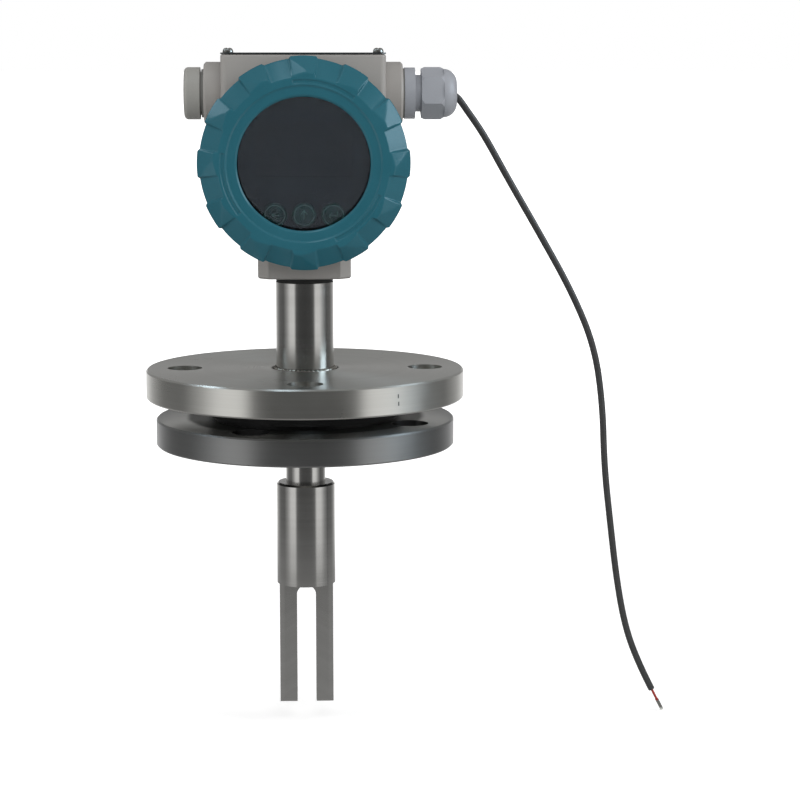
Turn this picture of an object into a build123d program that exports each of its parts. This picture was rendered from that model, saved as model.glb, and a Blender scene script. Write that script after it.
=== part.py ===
from build123d import *
import os
from math import cos, pi, radians, sin, sqrt, tan

# Vibrating fork density meter, in millimetres. +Z is up and -Y is the front, where the window is.
# The origin is the centre of the process flange's bolt circle, on the lower face of its rim.

os.makedirs("parts", exist_ok=True)

# Clearances
turn_gap = 0.3  # radial and axial gap round what turns or slides
fit_gap = 0.1  # gap round a piece that is screwed or pushed in for good
drill_run = 1.0  # how far a cut runs past the face that it opens

# Process flange, bolt circle and raised face of a DN 50 flange
flange_od = 165.0
flange_thickness = 18.0
flange_hole_inset = 20.0  # from the rim to the hole circle
flange_pcd = flange_od - 2 * flange_hole_inset
flange_hole_d = 18.0
flange_hole_count = 4
flange_face_inset = 11.5  # from the hole circle to the raised face
flange_face_d = flange_pcd - 2 * flange_face_inset
flange_face_h = 3.0
flange_edge = 0.8
stem_socket_depth = 14.0
weld_groove_w = 2.4
weld_groove_depth = 2.0

# Gasket and companion flange below it
gasket_inset = 1.0
gasket_od = flange_face_d - 2 * gasket_inset
gasket_t = 5.5
companion_inset = 5.0  # how much smaller its radius is
companion_od = flange_od - 2 * companion_inset
companion_thickness = 16.0
companion_hole_inset = 17.5
companion_pcd = companion_od - 2 * companion_hole_inset
companion_hole_d = 19.0
companion_hole_count = 4
companion_face_inset = 12.0  # from the hole circle to the raised face
companion_face_d = companion_pcd - 2 * companion_face_inset
companion_face_h = 2.0
companion_face_w = 17.5
companion_bore_d = companion_face_d - 2 * companion_face_w
companion_turn = -27.0  # angle of one hole from +X, in degrees

# Stem and neck
stem_od = 30.0
stem_wall = 3.0
stem_length = 45.0  # visible, from the flange to the neck seal
stem_spigot_d = 26.0
stem_spigot_length = 12.0
neck_seal_od = 29.4
neck_seal_t = 3.2

# Probe below the flange
probe_neck_od = 20.6
probe_neck_wall = 3.0
probe_neck_drop = 45.2  # from the origin down to the probe body
probe_neck_overlap = 2.0  # how far the neck stands up inside the stem
probe_od = 30.5
probe_wall = 3.0
probe_body_length = 41.8
probe_cap_t = 4.0
probe_edge = 1.0

# Tuning fork
fork_base_length = 12.0
fork_spigot_length = 4.0
tine_length = 64.0
tine_gap = 10.0
tine_width = 20.0
tine_tip_round = 6.0
tine_outer_inset = 1.2  # how far the tines' flat backs lie inside the body's outline

# Crystals and what is beside them in the probe
crystal_d = 8.0
crystal_height = 8.0
crystal_offset = 6.5
clamp_bar_length = 20.0
clamp_bar_width = 6.0
clamp_bar_t = 3.0
clamp_screw_d = 3.0
clamp_head_d = 5.6
clamp_head_h = 2.5
thermometer_d = 3.2
thermometer_length = 24.0
thermometer_offset = 7.5
sensor_wire_d = 1.0
sensor_wire_inset = 3.0
sensor_wire_spread = 1.2

# Covers, whose rim sets the size of the head
rim_r = 51.5
lug_proud = 1.1
lug_r = rim_r + lug_proud
cone_w = 9.3
cone_depth = 7.6
lip_r = rim_r - cone_w
front_cover_length = 33.0
rear_cover_length = 21.0
cover_edge = 1.2
cover_seal_t = 0.7
cover_seal_w = 2.0
thread_relief = 1.5
lug_count = 12
lug_arc = 15.0
lug_set_back = 4.5
lug_low = 0.3  # a lug's height over the cone at its two low corners
lug_high = 1.7  # and along the ridge between its two high corners
groove_inset = 1.2  # from the cone's inner edge
groove_w = 1.8
groove_out_r = lip_r - groove_inset
groove_in_r = groove_out_r - groove_w
groove_depth = 1.6
groove_arc = 45.0
groove_first = 52.5
groove_count = 3

# Head casting
boss_width = 47.5
boss_corner_cut = 5.5
boss_edge = 0.8
boss_drop = 7.6  # how far the neck boss reaches below the cover's lugs
head_axis_rise = lug_r + boss_drop  # from the neck boss's lower face to the covers' axis
head_top_over = 1.7  # how far the top face stands over the cover's rim
head_top_rise = rim_r + head_top_over  # from the covers' axis to the top face
conduit_drop = 19.9  # from the top face to the conduit axis
conduit_rise = head_top_rise - conduit_drop
barrel_inset = 3.0  # from the cover's rim to the barrel
barrel_r = rim_r - barrel_inset
barrel_past_boss = 4.25
barrel_half = boss_width / 2 + barrel_past_boss
collar_length = 13.0
thread_inset = 7.5  # from the cover's rim to the thread
thread_r = rim_r - thread_inset
collar_wall = 6.0
cavity_r = thread_r - collar_wall
wall_front = 16.0  # front face of the dividing wall, in front of the stem's axis
wall_t = 5.0
wire_hole_d = 12.0
wire_hole_inset = 14.0
wire_hole_drop = cavity_r - wire_hole_inset
block_inset = 10.0  # how far the block's sides lie inside the cover's rim
block_width = 2 * (rim_r - block_inset)
block_step = 1.0  # how far the block's faces lie behind the barrel's
block_depth = 2 * (barrel_half - block_step)
block_corner = 3.0
block_edge = 1.2
neck_bore_d = 20.0
conduit_boss_d = 32.0
conduit_boss_length = 9.2  # how far it stands out of the block
conduit_boss_end = block_width / 2 + conduit_boss_length  # from the stem's axis
conduit_boss_edge = 1.1
conduit_thread_d = 20.0

# Window
bezel_w = 9.5
window_r = lip_r - bezel_w
window_edge = 0.8
window_lip_t = 4.2
glass_seat_w = 5.3
glass_r = window_r + glass_seat_w
glass_t = 8.0
window_gasket_t = 0.8
window_ring_t = 4.0
window_ring_bore_r = window_r + window_edge
ring_slot_w = 3.0
ring_slot_depth = 2.0
ring_slot_count = 4

# Display behind the window, in shares of the cavity's and the face plate's radius
board_t = 1.6
main_board_w = 1.526 * cavity_r
main_board_h = 1.158 * cavity_r
board_standoff = 6.0
display_board_r = 0.882 * cavity_r
display_gap = 1.0  # from the face plate to the window's threaded ring
pillar_d = 4.4
pillar_inset = 0.132 * cavity_r
pillar_x = main_board_w / 2 - pillar_inset
pillar_z = main_board_h / 2 - pillar_inset
face_plate_inset = 2.0
face_plate_r = glass_r - face_plate_inset
face_plate_t = 1.6
lcd_w = 1.444 * face_plate_r
lcd_h = 0.861 * face_plate_r
lcd_t = 4.8
lcd_rise = 0.183 * face_plate_r
lcd_border = 2.0  # part of the panel that the face plate covers all round
key_pitch = 0.403 * face_plate_r
key_drop = 0.719 * face_plate_r
key_d = 0.328 * face_plate_r
key_flange_w = 0.9
key_flange_t = 1.5
key_proud = 0.9
key_stem_d = 3.0
key_travel = 0.6
switch_w = 6.0
switch_t = 1.6
post_d = 4.8
post_side_x = 0.847 * face_plate_r
post_side_z = 2.0
post_low_x = 0.667 * face_plate_r
post_low_z = -0.542 * face_plate_r
display_screw_d = 2.0
display_head_d = 4.2
display_head_h = 1.2
connector_w = 22.0
connector_h = 5.0
connector_drop = 12.0

# Terminal compartment
terminal_w = 1.368 * cavity_r
terminal_h = 0.474 * cavity_r
terminal_t = 16.0
terminal_drop = 0.158 * cavity_r
terminal_ear_w = 0.21 * cavity_r
terminal_ear_t = 4.0
terminal_count = 6
terminal_end = 0.053 * cavity_r  # block left beside the last terminal
terminal_pitch = (terminal_w - 2 * terminal_end) / terminal_count
terminal_slot = 0.775 * terminal_pitch
terminal_slot_depth = 4.0
terminal_screw_d = 0.839 * terminal_slot
terminal_screw_h = 2.4
fixing_screw_d = 3.0
fixing_head_d = 5.5
fixing_head_h = 2.2
socket_w = 12.0
socket_depth = 14.0
socket_h = 6.0
socket_rise = 7.6  # above the lowest line of the cavity

# Blank plate on the head
plate_t = 0.8
plate_corner = 3.0
plate_screw_inset = 3.1
plate_screw_x = block_width / 2 - plate_screw_inset
plate_screw_d = 3.0
plate_screw_length = 8.0
plate_head_d = 5.5
plate_head_h = 2.4

# Blanking plug
plug_head_d = 26.6
plug_head_t = 8.2
plug_edge = 2.2
plug_thread_length = 12.0
plug_socket_af = 10.0
plug_socket_depth = 6.0
plug_shoulder_d = 22.0
plug_shoulder_t = 0.45
plug_seal_d = 24.6
plug_seal_t = 1.2

# Cable gland
gland_seal_d = 25.4
gland_seal_t = 0.95
gland_collar_d = 26.2
gland_collar_t = 5.4
gland_neck_d = 18.8
gland_neck_length = 13.0
gland_thread_length = 13.0
gland_bore_d = 14.4
gland_groove = 3.2  # gap between the collar and the nut
nut_af = 23.3
nut_length = 18.3
nut_hex_length = 11.6
nut_dome_d = 24.8
nut_dome_drop = 1.7  # how far its shoulder has drawn in
nut_shoulder_back = 2.3  # from the shoulder to the end face
nut_end_d = 13.6
nut_hole_d = 9.0
nut_flare = 1.4  # widening of the hole at its mouth
nut_wall = 6.0
nut_turned = 22.0
bush_length = 11.0
bush_cone = 2.0
thrust_washer_t = 0.8

# Signal cable
cable_d = 3.5
arc_share = 0.45  # part of a run that the arc at one of its ends takes
core_d = 1.3
core_length = 7.0
ferrule_d = 1.8
ferrule_length = 6.0
core_spread = 0.85
lead_d = 1.5
sheath_tail = 2.0  # how far the sheath reaches into the head past the gland's thread

# Earth screw on the back of the neck boss
earth_rise = 6.2
earth_screw_d = 4.2
earth_wall = 2.75  # left between the screw's hole and the stem's bore
earth_screw_length = (boss_width - stem_spigot_d) / 2 - earth_wall
earth_head_d = 7.6
earth_head_h = 2.8
earth_washer_d = 9.0
earth_washer_t = 1.0

# Heights worked out from the sizes above
flange_top = flange_thickness - flange_face_h
stem_seat = flange_top - stem_socket_depth
stem_shoulder = flange_top + stem_length
boss_bottom = stem_shoulder + neck_seal_t
head_z = boss_bottom + head_axis_rise
head_top = head_z + head_top_rise
conduit_z = head_z + conduit_rise
socket_base = head_z - cavity_r + socket_rise
gasket_top = -flange_face_h
companion_top = gasket_top - gasket_t
companion_rim_top = companion_top - companion_face_h
probe_top = -probe_neck_drop
fork_top = probe_top - probe_body_length
fork_spigot_top = fork_top + fork_spigot_length
tine_root = fork_top - fork_base_length
tine_tip = tine_root - tine_length

# Distances along the covers' axis, from the stem's axis
cover_back = barrel_half + cover_seal_t + turn_gap
collar_end = barrel_half + collar_length
thread_r_cover = thread_r + turn_gap
cover_shoulder = collar_end + thread_relief + turn_gap
front_face = cover_back + front_cover_length
lip_back = front_face - window_lip_t
glass_front = lip_back - window_gasket_t
glass_back = glass_front - glass_t
ring_back = glass_back - window_ring_t
pocket_r = glass_r + turn_gap
wall_rear = wall_t - wall_front  # the same wall's rear face, measured to the rear
face_plate_front = ring_back - display_gap
face_plate_back = face_plate_front - face_plate_t
display_board_front = face_plate_back - lcd_t
display_board_back = display_board_front - board_t
main_board_back = wall_front + board_standoff
main_board_front = main_board_back + board_t

# Frames of the four sides: local z leads away from the head, and local y is up
front = Plane(origin=(0, 0, head_z), x_dir=(1, 0, 0), z_dir=(0, -1, 0)).location
rear = Plane(origin=(0, 0, head_z), x_dir=(-1, 0, 0), z_dir=(0, 1, 0)).location
right = Plane(origin=(0, 0, conduit_z), x_dir=(0, 1, 0), z_dir=(1, 0, 0)).location
left = Plane(origin=(0, 0, conduit_z), x_dir=(0, -1, 0), z_dir=(-1, 0, 0)).location

on_base = (Align.CENTER, Align.CENTER, Align.MIN)


def rod(radius, low, high, x=0.0, y=0.0):
    """A round bar along local z, between two heights."""
    return Pos(x, y, low) * Cylinder(radius, high - low, align=on_base)


def tube(outer_r, inner_r, low, high):
    """A plain ring or tube along local z."""
    return rod(outer_r, low, high) - rod(inner_r, low - drill_run, high + drill_run)


def slab(width, height, low, high, x=0.0, y=0.0):
    """A rectangular block along local z, between two heights."""
    return Pos(x, y, low) * Box(width, height, high - low, align=on_base)


def turned(points, arc=360.0):
    """A turned solid from a closed outline of (radius, height) points."""
    outline = Plane.XZ * make_face(Polyline(*points, close=True))
    return revolve(outline, Axis.Z, revolution_arc=arc)


def wire(points, radii, diameter):
    """A round wire along straight runs joined by tangent arcs."""
    path = FilletPolyline(*points, radius=radii)
    start = Plane(origin=path @ 0, z_dir=path % 0)
    return sweep(start * Circle(diameter / 2), path=path)


def as_one(pieces):
    """Several separate solids kept together in one node."""
    return Compound(children=[p.solid() for p in pieces])


def make_flange(od, thickness, face_d, face_h, bore_r, hole_d, count, pcd, first_angle, face_up):
    """A plate flange, its rim from z = 0 up and its raised face below, or turned over with face_up."""
    edge = flange_edge
    rim_top = thickness - face_h
    disc = turned([
        (bore_r, -face_h),
        (face_d / 2, -face_h),
        (face_d / 2, 0),
        (od / 2 - edge, 0),
        (od / 2, edge),
        (od / 2, rim_top - edge),
        (od / 2 - edge, rim_top),
        (bore_r, rim_top),
    ])
    if face_up:
        disc = Rot(180, 0, 0) * disc
    for i in range(count):
        angle = radians(first_angle + i * 360 / count)
        x = pcd / 2 * cos(angle)
        y = pcd / 2 * sin(angle)
        disc -= rod(hole_d / 2, -thickness - drill_run, thickness + drill_run, x, y)
    return disc


def make_process_flange():
    """The upper flange: the stem is welded into its socket, at the bottom of a round groove."""
    flange = make_flange(
        flange_od, flange_thickness, flange_face_d, flange_face_h, probe_neck_od / 2 + fit_gap,
        flange_hole_d, flange_hole_count, flange_pcd, 0.0, False,
    )
    socket_r = stem_od / 2 + fit_gap
    flange -= rod(socket_r, stem_seat, flange_top + drill_run)
    flange -= rod(socket_r + weld_groove_w, flange_top - weld_groove_depth, flange_top + drill_run)
    return flange


def make_companion_flange():
    """The lower flange, which lies under the gasket with its holes turned away from the upper ones."""
    flange = make_flange(
        companion_od, companion_thickness, companion_face_d, companion_face_h, companion_bore_d / 2,
        companion_hole_d, companion_hole_count, companion_pcd, companion_turn, True,
    )
    return Pos(0, 0, companion_rim_top) * flange


def make_stem():
    """The tube between the flange and the head, with a narrower threaded spigot at its top."""
    bore_r = stem_spigot_d / 2 - stem_wall
    return turned([
        (bore_r, stem_shoulder + stem_spigot_length),
        (stem_spigot_d / 2, stem_shoulder + stem_spigot_length),
        (stem_spigot_d / 2, stem_shoulder),
        (stem_od / 2, stem_shoulder),
        (stem_od / 2, stem_seat),
        (stem_od / 2 - stem_wall, stem_seat),
        (stem_od / 2 - stem_wall, stem_shoulder - stem_wall),
        (bore_r, stem_shoulder),
    ])


def make_probe_body():
    """The round housing of the crystals, closed at its top round the probe neck's bore."""
    bore_r = probe_neck_od / 2 - probe_neck_wall
    return turned([
        (bore_r, probe_top),
        (probe_od / 2 - probe_edge, probe_top),
        (probe_od / 2, probe_top - probe_edge),
        (probe_od / 2, fork_top),
        (probe_od / 2 - probe_wall, fork_top),
        (probe_od / 2 - probe_wall, probe_top - probe_cap_t),
        (bore_r, probe_top - probe_cap_t),
    ])


def make_fork():
    """One turned and milled piece: spigot, base and two tines with a round root between them."""
    bar = rod(probe_od / 2, tine_tip, fork_top)
    back = probe_od / 2 - tine_outer_inset
    keep = slab(2 * back, tine_width, tine_tip, tine_root)
    keep = fillet(keep.edges().filter_by(Axis.X).group_by(Axis.Z)[0], tine_tip_round)
    keep += rod(probe_od / 2, tine_root, fork_top)
    fork = bar & keep
    slot_root = tine_root - tine_gap / 2
    fork -= slab(tine_gap, probe_od, tine_tip - drill_run, slot_root)
    fork -= Pos(0, 0, slot_root) * Rot(90, 0, 0) * Cylinder(tine_gap / 2, probe_od)
    spigot_r = probe_od / 2 - probe_wall - fit_gap
    return fork + rod(spigot_r, fork_top, fork_spigot_top)


def make_housing():
    """The head casting: barrel and collars, square block, neck boss and two conduit bosses."""
    body = front * rod(barrel_r, -barrel_half, barrel_half)
    body += front * rod(thread_r, -collar_end, collar_end)

    block = Pos(0, 0, head_z) * Box(block_width, block_depth, head_top_rise, align=on_base)
    block = fillet(block.edges().filter_by(Axis.Z), block_corner)
    block = fillet(block.faces().sort_by(Axis.Z)[-1].edges(), block_edge)
    body += block

    square = Rectangle(boss_width, boss_width)
    square = chamfer(square.vertices(), boss_corner_cut)
    boss = Pos(0, 0, boss_bottom) * extrude(square, head_axis_rise)
    boss = chamfer(boss.faces().sort_by(Axis.Z)[0].edges(), boss_edge)
    body += boss

    for side in (left, right):
        end = conduit_boss_end
        boss_r = conduit_boss_d / 2
        body += side * turned([
            (0, 0),
            (boss_r, 0),
            (boss_r, end - conduit_boss_edge),
            (boss_r - conduit_boss_edge, end),
            (0, end),
        ])

    body -= front * rod(cavity_r, wall_front, collar_end + drill_run)
    body -= rear * rod(cavity_r, wall_rear, collar_end + drill_run)
    body -= front * rod(wire_hole_d / 2, -wall_rear - drill_run, wall_front + drill_run, 0, -wire_hole_drop)
    for side in (left, right):
        body -= side * rod(conduit_thread_d / 2, 0, conduit_boss_end + drill_run)

    spigot_r = stem_spigot_d / 2 + fit_gap
    bore_top = stem_shoulder + stem_spigot_length + drill_run
    body -= rod(spigot_r, boss_bottom - drill_run, bore_top)
    body -= rod(neck_bore_d / 2, boss_bottom, head_z - cavity_r + neck_bore_d / 2)

    for x in (-plate_screw_x, plate_screw_x):
        body -= rod(plate_screw_d / 2, head_top - plate_screw_length, head_top + drill_run, x)
    earth_low = boss_width / 2 - earth_screw_length
    earth_high = boss_width / 2 + drill_run
    body -= rear * rod(earth_screw_d / 2, earth_low, earth_high, 0, boss_bottom + earth_rise - head_z)
    return body


def make_lug(face):
    """One grip lug on the cover's rim and cone.

    Its end face has two flat facets. They meet in a ridge that runs from the lug's inner clockwise
    corner to its outer anticlockwise one, and both fall away from it.
    """
    back = cover_back + lug_set_back
    sector = turned([
        (rim_r - cover_edge, back),
        (lug_r, back + cover_edge),
        (lug_r, face),
        (lip_r, face),
        (lip_r, face - cone_depth),
        (rim_r - cover_edge, face - cone_depth - cover_edge),
    ], lug_arc)
    sector = Rot(0, 0, -lug_arc / 2) * sector

    slope = sqrt((rim_r - lip_r) ** 2 + cone_depth ** 2)
    outward = Vector(cone_depth, 0, rim_r - lip_r) / slope
    inner_half = lip_r * tan(radians(lug_arc / 2))
    outer_half = rim_r * tan(radians(lug_arc / 2))
    ridge_start = Vector(lip_r, -inner_half, face) + outward * lug_high
    ridge_end = Vector(rim_r, outer_half, face - cone_depth) + outward * lug_high
    inner_corner = Vector(lip_r, inner_half, face) + outward * lug_low
    outer_corner = Vector(rim_r, -outer_half, face - cone_depth) + outward * lug_low
    along = ridge_end - ridge_start
    for normal in (along.cross(inner_corner - ridge_start), (outer_corner - ridge_start).cross(along)):
        seat = Plane(origin=ridge_start, x_dir=along, z_dir=normal)
        sector -= seat.location * Box(4 * rim_r, 4 * rim_r, rim_r, align=on_base)
    return sector


def add_lugs(cover, face):
    """Twelve equal lugs round a cover."""
    lug = make_lug(face)
    for i in range(lug_count):
        cover += Rot(0, 0, i * 360 / lug_count) * lug
    return cover


def make_front_cover():
    """The window cover: threaded skirt, cone with lugs, and a flat front with three arc grooves."""
    ring = turned([
        (thread_r_cover, cover_back),
        (rim_r - cover_edge, cover_back),
        (rim_r, cover_back + cover_edge),
        (rim_r, front_face - cone_depth),
        (lip_r, front_face),
        (window_r + window_edge, front_face),
        (window_r, front_face - window_edge),
        (window_r, lip_back),
        (pocket_r, lip_back),
        (pocket_r, cover_shoulder),
        (thread_r_cover, cover_shoulder),
    ])
    ring = add_lugs(ring, front_face)
    groove = turned([
        (groove_in_r, front_face - groove_depth),
        (groove_out_r, front_face - groove_depth),
        (groove_out_r, front_face + drill_run),
        (groove_in_r, front_face + drill_run),
    ], groove_arc)
    for i in range(groove_count):
        ring -= Rot(0, 0, groove_first + i * 360 / groove_count) * groove
    return front * ring


def make_rear_cover():
    """The blind cover of the terminal compartment, with the same skirt, cone and lugs."""
    face = cover_back + rear_cover_length
    cap = turned([
        (thread_r_cover, cover_back),
        (rim_r - cover_edge, cover_back),
        (rim_r, cover_back + cover_edge),
        (rim_r, face - cone_depth),
        (lip_r, face),
        (0, face),
        (0, cover_shoulder),
        (thread_r_cover, cover_shoulder),
    ])
    return rear * add_lugs(cap, face)


def make_window_ring():
    """The threaded ring that holds the glass, with slots for a pin wrench."""
    ring = tube(pocket_r - fit_gap, window_ring_bore_r, ring_back, glass_back)
    for i in range(ring_slot_count):
        slot = slab(2 * pocket_r, ring_slot_w, ring_back - drill_run, ring_back + ring_slot_depth, pocket_r)
        ring -= Rot(0, 0, i * 360 / ring_slot_count) * slot
    return front * ring


def display_post_places():
    """Where the face plate's posts and screws stand, as seen from the front."""
    return [
        (-post_side_x, post_side_z),
        (post_side_x, post_side_z),
        (-post_low_x, post_low_z),
        (post_low_x, post_low_z),
    ]


def make_face_plate():
    """The plate round the LCD and the keys, with four posts that stand on the display board."""
    plate = rod(face_plate_r, face_plate_back, face_plate_front)
    low = face_plate_back - drill_run
    high = face_plate_front + drill_run
    plate -= slab(lcd_w - 2 * lcd_border, lcd_h - 2 * lcd_border, low, high, 0, lcd_rise)
    for i in (-1, 0, 1):
        plate -= rod(key_d / 2 + turn_gap, low, high, i * key_pitch, -key_drop)
    for x, y in display_post_places():
        plate += rod(post_d / 2, display_board_front, face_plate_back, x, y)
        plate -= rod(display_screw_d / 2 + fit_gap, display_board_front - drill_run, high, x, y)
    return front * plate


def make_display_screws():
    """Four pan-head screws through the face plate's posts."""
    screws = []
    for x, y in display_post_places():
        head = rod(display_head_d / 2, face_plate_front, face_plate_front + display_head_h, x, y)
        shank = rod(display_screw_d / 2, display_board_front, face_plate_front, x, y)
        screws.append(front * (head + shank))
    return as_one(screws)


def make_key(x):
    """A round key with a flange behind the plate and a stem that presses its switch."""
    y = -key_drop
    flange_front = face_plate_back - turn_gap
    flange_back = flange_front - key_flange_t
    stem_end = display_board_front + switch_t + turn_gap + key_travel
    key = rod(key_d / 2, flange_front, face_plate_front + key_proud, x, y)
    key = chamfer(key.faces().sort_by(Axis.Z)[-1].edges(), key_proud / 3)
    key += rod(key_d / 2 + key_flange_w, flange_back, flange_front, x, y)
    key += rod(key_stem_d / 2, stem_end, flange_back, x, y)
    return front * key


def make_switches():
    """Three push switches on the display board, one behind each key."""
    switches = []
    for i in (-1, 0, 1):
        high = display_board_front + switch_t
        switches.append(front * slab(switch_w, switch_w, display_board_front, high, i * key_pitch, -key_drop))
    return as_one(switches)


def make_pillars(low, high):
    """Four pillars between two boards."""
    places = [(x, y) for x in (-pillar_x, pillar_x) for y in (-pillar_z, pillar_z)]
    return as_one([front * rod(pillar_d / 2, low, high, x, y) for x, y in places])


def make_terminal_block():
    """The moulded block: an ear at each end, and a slot with a screw seat for each terminal."""
    high = wall_rear + terminal_t
    block = slab(terminal_w, terminal_h, wall_rear, high, 0, -terminal_drop)
    ear_span = terminal_w + 2 * terminal_ear_w
    block += slab(ear_span, terminal_h / 2, wall_rear, wall_rear + terminal_ear_t, 0, -terminal_drop)
    for i in range(terminal_count):
        x = (i - (terminal_count - 1) / 2) * terminal_pitch
        block -= slab(terminal_slot, terminal_h + drill_run, high - terminal_slot_depth, high + drill_run,
                      x, -terminal_drop - terminal_slot / 2)
    for x in (-1, 1):
        place = x * (terminal_w + terminal_ear_w) / 2
        block -= rod(fixing_screw_d / 2 + fit_gap, wall_rear - drill_run, high, place, -terminal_drop)
    return rear * block


def make_terminal_screws():
    """One slotted screw in each terminal's slot."""
    seat = wall_rear + terminal_t - terminal_slot_depth
    screws = []
    for i in range(terminal_count):
        x = (i - (terminal_count - 1) / 2) * terminal_pitch
        y = -terminal_drop - terminal_slot / 2
        head = rod(terminal_screw_d / 2, seat, seat + terminal_screw_h, x, y)
        head -= slab(terminal_screw_d + drill_run, terminal_screw_h / 3, seat + terminal_screw_h / 2,
                     seat + terminal_screw_h + drill_run, x, y)
        screws.append(rear * head)
    return as_one(screws)


def make_fixing_screws():
    """The two screws through the terminal block's ears."""
    screws = []
    for side in (-1, 1):
        x = side * (terminal_w + terminal_ear_w) / 2
        seat = wall_rear + terminal_ear_t
        head = rod(fixing_head_d / 2, seat, seat + fixing_head_h, x, -terminal_drop)
        shank = rod(fixing_screw_d / 2, wall_rear, seat, x, -terminal_drop)
        screws.append(rear * (head + shank))
    return as_one(screws)


def make_name_plate():
    """The thin blank plate on the head's top face."""
    plate = Pos(0, 0, head_top) * Box(block_width, block_depth, plate_t, align=on_base)
    plate = fillet(plate.edges().filter_by(Axis.Z), plate_corner)
    for x in (-plate_screw_x, plate_screw_x):
        plate -= rod(plate_screw_d / 2 + fit_gap, head_top - drill_run, head_top + plate_t + drill_run, x)
    return plate


def make_plate_screws():
    """The two pan-head screws of the blank plate."""
    screws = []
    seat = head_top + plate_t
    for x in (-plate_screw_x, plate_screw_x):
        head = rod(plate_head_d / 2, seat, seat + plate_head_h, x)
        head = fillet(head.faces().sort_by(Axis.Z)[-1].edges(), plate_head_h / 2)
        shank = rod(plate_screw_d / 2 - fit_gap, head_top - plate_screw_length, seat, x)
        screws.append(head + shank)
    return as_one(screws)


def make_plug():
    """The blanking plug: round head over a short shoulder, hexagon socket and threaded shank."""
    shoulder = conduit_boss_end + plug_seal_t + turn_gap
    seat = shoulder + plug_shoulder_t
    end = seat + plug_head_t
    head = rod(plug_head_d / 2, seat, end)
    head = fillet(head.faces().sort_by(Axis.Z)[-1].edges(), plug_edge)
    head += rod(plug_shoulder_d / 2, shoulder, seat)
    shank_r = conduit_thread_d / 2 - turn_gap
    plug = head + rod(shank_r, conduit_boss_end - plug_thread_length, shoulder)
    socket = extrude(RegularPolygon(plug_socket_af / 2, 6, major_radius=False), plug_socket_depth + drill_run)
    return left * (plug - Pos(0, 0, end - plug_socket_depth) * socket)


collar_seat = conduit_boss_end + gland_seal_t
collar_end_face = collar_seat + gland_collar_t
gland_neck_end = collar_end_face + gland_neck_length
nut_start = collar_end_face + gland_groove
nut_end = nut_start + nut_length
bush_start = nut_end - nut_wall - turn_gap - thrust_washer_t - bush_length
bush_end = bush_start + bush_length
sheath_start = conduit_boss_end - gland_thread_length - sheath_tail
cable_exit = nut_end - nut_wall  # where the free cable begins, inside the nut's mouth


def make_gland_body():
    """The gland's body: threaded shank, round collar and a neck that carries the dome nut."""
    shank_r = conduit_thread_d / 2 - fit_gap
    body = rod(shank_r, conduit_boss_end - gland_thread_length, collar_seat)
    body += rod(gland_collar_d / 2, collar_seat, collar_end_face)
    body += rod(gland_neck_d / 2, collar_end_face, gland_neck_end)
    body -= rod(gland_bore_d / 2, bush_start, gland_neck_end + drill_run)
    return right * (body - rod(cable_d / 2 + fit_gap, 0, nut_end))


def make_gland_bush():
    """The rubber bush that grips the cable, with a tapered nose."""
    outer = gland_bore_d / 2 - fit_gap
    inner = cable_d / 2 + fit_gap
    return right * turned([
        (inner, bush_start),
        (outer, bush_start),
        (outer, bush_end - bush_cone),
        (outer - bush_cone / 2, bush_end),
        (inner, bush_end),
    ])


def make_gland_nut():
    """The dome nut: six flats that end at a step, and a round dome beyond it."""
    corner_r = nut_af / sqrt(3)
    edge = corner_r - nut_af / 2
    flat_end = nut_start + nut_hex_length
    hexagon = Pos(0, 0, nut_start) * extrude(RegularPolygon(corner_r, 6), nut_hex_length)
    keep = Rot(0, 0, nut_turned) * hexagon + rod(corner_r, flat_end, nut_end)
    dome_r = nut_dome_d / 2
    outline = make_face([
        Polyline((nut_end_d / 2, nut_end), (0, nut_end), (0, nut_start)),
        Polyline((0, nut_start), (corner_r - edge / 2, nut_start), (corner_r, nut_start + edge)),
        Polyline((corner_r, nut_start + edge), (corner_r, flat_end - edge), (dome_r, flat_end)),
        ThreePointArc(
            (dome_r, flat_end),
            (dome_r - nut_dome_drop, nut_end - nut_shoulder_back),
            (nut_end_d / 2, nut_end),
        ),
    ])
    nut = keep & revolve(Plane.XZ * outline, Axis.Z)
    nut -= rod(gland_neck_d / 2 + turn_gap, nut_start - drill_run, nut_end - nut_wall)
    hole_r = nut_hole_d / 2
    return right * (nut - turned([
        (0, nut_start),
        (hole_r, nut_start),
        (hole_r, nut_end - nut_flare),
        (hole_r + nut_flare, nut_end),
        (0, nut_end),
    ]))


# Route of the free cable, from the gland's mouth down to its stripped end
cable_route = [
    (cable_exit, 0.0, conduit_z),
    (75.2, 0.0, conduit_z),
    (78.9, 0.0, 154.9),
    (81.6, 0.1, 151.4),
    (84.6, 0.2, 147.1),
    (89.1, 0.3, 140.9),
    (95.0, 0.6, 131.7),
    (105.2, 1.0, 113.3),
    (122.4, 1.6, 84.0),
    (139.6, 2.4, 53.5),
    (151.8, 3.4, 25.0),
    (156.6, 4.0, -6.0),
    (157.9, 4.2, -39.0),
    (161.4, 4.2, -69.0),
    (165.4, 4.6, -101.0),
    (170.6, 5.6, -127.5),
    (178.6, 7.4, -148.4),
    (185.8, 9.6, -162.4),
]


def corner_radii(points):
    """The arc of each corner: a share of its shorter run over the tangent of half its turn."""
    radii = []
    for before, here, after in zip(points, points[1:], points[2:]):
        run_in = Vector(*here) - Vector(*before)
        run_out = Vector(*after) - Vector(*here)
        turn = radians(run_in.get_angle(run_out))
        radii.append(arc_share * min(run_in.length, run_out.length) / tan(turn / 2))
    return radii


def make_core_ends(low, length, diameter):
    """Round pieces side by side at the cable's far end, along its last run."""
    tip = Vector(*cable_route[-1])
    direction = (tip - Vector(*cable_route[-2])).normalized()
    seat = Plane(origin=tip, x_dir=(0, 1, 0), z_dir=direction).location
    return as_one([seat * rod(diameter / 2, low, low + length, x) for x in (-core_spread, core_spread)])


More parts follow.
